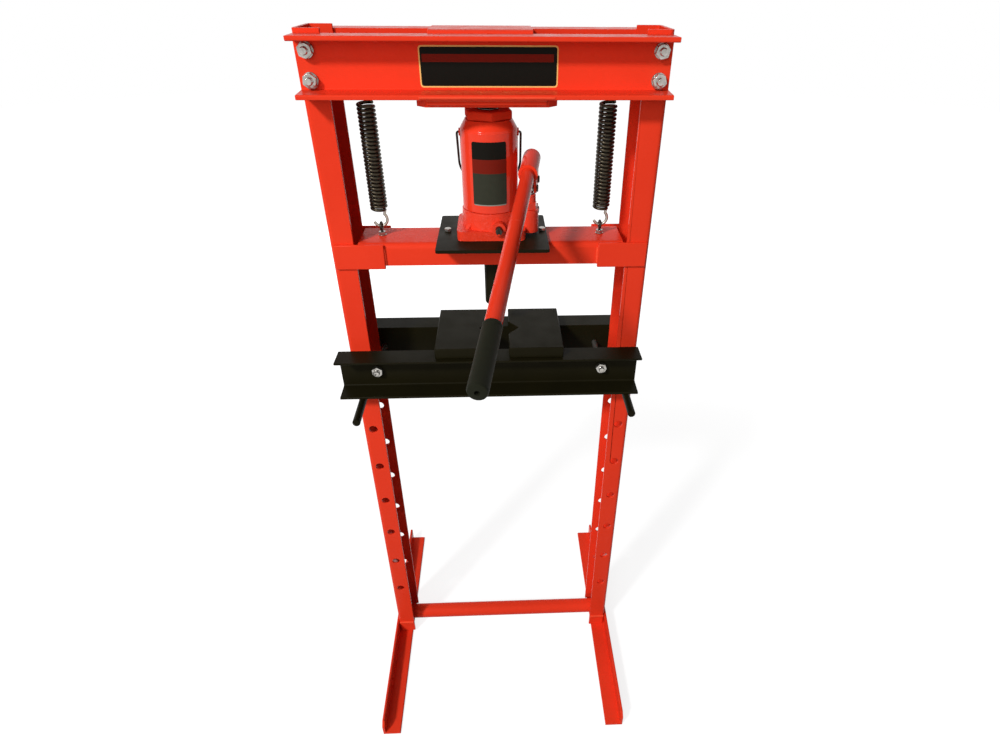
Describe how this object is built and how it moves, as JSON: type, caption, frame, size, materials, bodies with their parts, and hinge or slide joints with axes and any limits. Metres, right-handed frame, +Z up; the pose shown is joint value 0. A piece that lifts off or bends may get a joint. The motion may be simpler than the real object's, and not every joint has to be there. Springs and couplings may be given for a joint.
{
  "type": "hydraulic shop press",
  "caption": "Floor-standing H-frame workshop press with a bottle jack on a spring-returned crosshead and a bed with notched arbor plates.",
  "frame": {"origin": "on the floor, under the middle of the whole depth from the pump handle's end to the rear of the feet, in the middle plane of the uprights' width", "axes": "+Z up, -Y towards the front where the pump handle points, +X to the right of someone who faces the press"},
  "size_m": [0.519, 0.7615, 1.25],
  "materials": {
    "red_paint": "glossy red enamel",
    "black_paint": "satin black paint",
    "zinc_plate": "bright zinc plate",
    "ground_steel": "ground and polished steel",
    "dark_steel": "oiled dark steel",
    "rubber": "moulded black rubber"
  },
  "bodies": {
    "press_frame": {"left_upright": "red_paint", "right_upright": "red_paint", "left_foot": "red_paint", "right_foot": "red_paint", "crossbar": "red_paint", "top_beam_front": "red_paint", "top_beam_rear": "red_paint", "beam_centre_block": "red_paint", "thrust_plate": "red_paint", "left_spring_anchor": "red_paint", "right_spring_anchor": "red_paint", "left_return_spring": "black_paint", "right_return_spring": "black_paint", "beam_bolt_front_left_lower": "zinc_plate", "beam_bolt_front_left_upper": "zinc_plate", "beam_bolt_front_right_lower": "zinc_plate", "beam_bolt_front_right_upper": "zinc_plate", "beam_bolt_rear_left_lower": "zinc_plate", "beam_bolt_rear_left_upper": "zinc_plate", "beam_bolt_rear_right_lower": "zinc_plate", "beam_bolt_rear_right_upper": "zinc_plate"},
    "crosshead": {"crosshead_body": "red_paint", "filler_plug": "rubber", "fulcrum_pin": "zinc_plate", "guide_strap_front_left": "red_paint", "guide_strap_front_right": "red_paint", "guide_strap_rear_left": "red_paint", "guide_strap_rear_right": "red_paint", "jack_base": "red_paint", "jack_base_plate": "black_paint", "jack_bolt_left": "zinc_plate", "jack_bolt_right": "zinc_plate", "jack_cap_nut": "red_paint", "jack_cylinder": "red_paint", "left_eye_bolt": "zinc_plate", "link_foot_pin": "zinc_plate", "press_ram": "black_paint", "pump_barrel": "red_paint", "pump_link": "red_paint", "right_eye_bolt": "zinc_plate"},
    "jack_ram": {"jack_piston": "ground_steel", "jack_saddle": "dark_steel"},
    "rocker": {"handle_socket": "red_paint", "plunger_pin": "zinc_plate"},
    "handle": {"pump_handle": "red_paint", "handle_grip": "rubber"},
    "plunger": {"pump_plunger": "ground_steel"},
    "release_screw": {"release_valve": "dark_steel"},
    "bail": {"carry_bail": "black_paint"},
    "bed": {"bed_channel_front": "black_paint", "bed_channel_rear": "black_paint", "bed_tie_left": "zinc_plate", "bed_tie_right": "zinc_plate"},
    "left_plate": {"arbor_plate_left": "black_paint"},
    "right_plate": {"arbor_plate_right": "black_paint"},
    "left_pin": {"bed_pin_left": "black_paint"},
    "right_pin": {"bed_pin_right": "black_paint"}
  },
  "joints": [
    {"name": "crosshead_slide", "type": "slide", "parent": "press_frame", "child": "crosshead", "axis": [0, 0, 1], "range_m": [-0.12, 0], "stiffness_N_per_m": 3000, "springref_m": 0.08, "deforming": ["left_return_spring", "right_return_spring"]},
    {"name": "jack_ram_slide", "type": "slide", "parent": "crosshead", "child": "jack_ram", "axis": [0, 0, 1], "range_m": [0, 0.12]},
    {"name": "handle_pump", "type": "hinge", "parent": "crosshead", "child": "rocker", "pos_m": [0.06321, 0.12265, 1.0501], "axis": [-0.9893, 0.1461, 0], "range_deg": [0, 40]},
    {"name": "plunger_slide", "type": "slide", "parent": "crosshead", "child": "plunger", "axis": [0, 0, 1], "range_m": [0, 0.0158]},
    {"name": "handle_pull", "type": "slide", "parent": "rocker", "child": "handle", "axis": [-0.1438, -0.9739, -0.1754], "range_m": [0, 0.075]},
    {"name": "release_turn", "type": "hinge", "parent": "crosshead", "child": "release_screw", "pos_m": [0.012, 0.05989, 0.9926], "axis": [0, -1, 0], "range_deg": [0, 360]},
    {"name": "bail_swing", "type": "hinge", "parent": "crosshead", "child": "bail", "pos_m": [0, 0.11489, 1.1191], "axis": [1, 0, 0], "range_deg": [0, 80]},
    {"name": "bed_lift", "type": "slide", "parent": "press_frame", "child": "bed", "axis": [0, 0, 1], "range_m": [0, 0.09]},
    {"name": "plate_left_slide", "type": "slide", "parent": "bed", "child": "left_plate", "axis": [-1, 0, 0], "range_m": [0, 0.09]},
    {"name": "plate_right_slide", "type": "slide", "parent": "bed", "child": "right_plate", "axis": [1, 0, 0], "range_m": [0, 0.07]},
    {"name": "pin_left_pull", "type": "slide", "parent": "press_frame", "child": "left_pin", "axis": [0, -1, 0], "range_m": [0, 0.19]},
    {"name": "pin_right_pull", "type": "slide", "parent": "press_frame", "child": "right_pin", "axis": [0, -1, 0], "range_m": [0, 0.19]}
  ],
  "couplings": [
    {"joint": "jack_ram_slide", "follows": "crosshead_slide", "ratio": -1},
    {"joint": "plunger_slide", "follows": "handle_pump", "m_per_rad": 0.02223}
  ]
}
